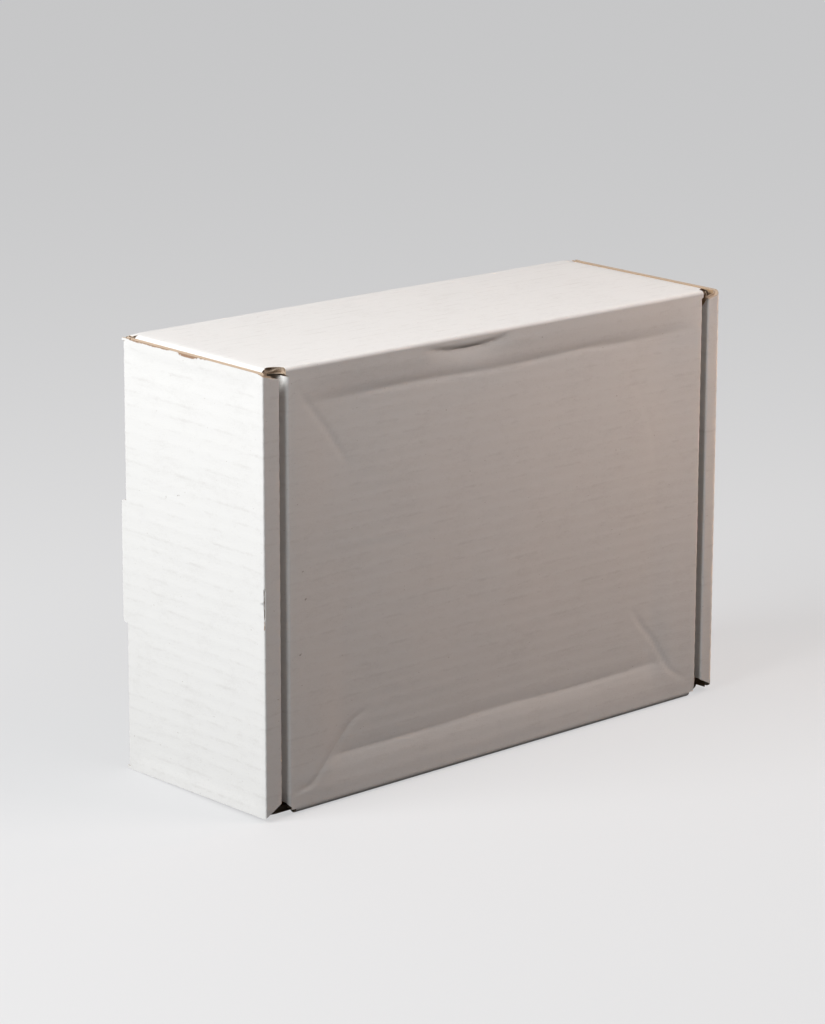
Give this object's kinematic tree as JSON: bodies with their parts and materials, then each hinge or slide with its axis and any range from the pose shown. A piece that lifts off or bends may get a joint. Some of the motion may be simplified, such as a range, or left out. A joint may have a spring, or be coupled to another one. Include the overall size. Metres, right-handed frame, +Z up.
{
  "type": "corrugated mailer box",
  "caption": "White-lined corrugated mailer box with rolled end walls, slotted base, and a creased lid with ears and a tuck flap, standing shut on its front panel.",
  "frame": {"origin": "middle of the footprint on the surface that the box stands on", "axes": "+X along the long side, +Y from the lid towards the base, +Z up from the front panel to the panel that carries the lid's crease"},
  "size_m": [0.289, 0.1018, 0.205],
  "materials": {
    "white_board": "matt white liner outside, brown liner inside, brown raw edges"
  },
  "bodies": {
    "tray": {"tray": "white_board"},
    "lid": {"lid": "white_board"}
  },
  "joints": [
    {"name": "lid_crease", "type": "hinge", "parent": "tray", "child": "lid", "pos_m": [0, -0.05044, 0.20454], "axis": [-1, 0, 0], "range_deg": [0, 180]}
  ]
}
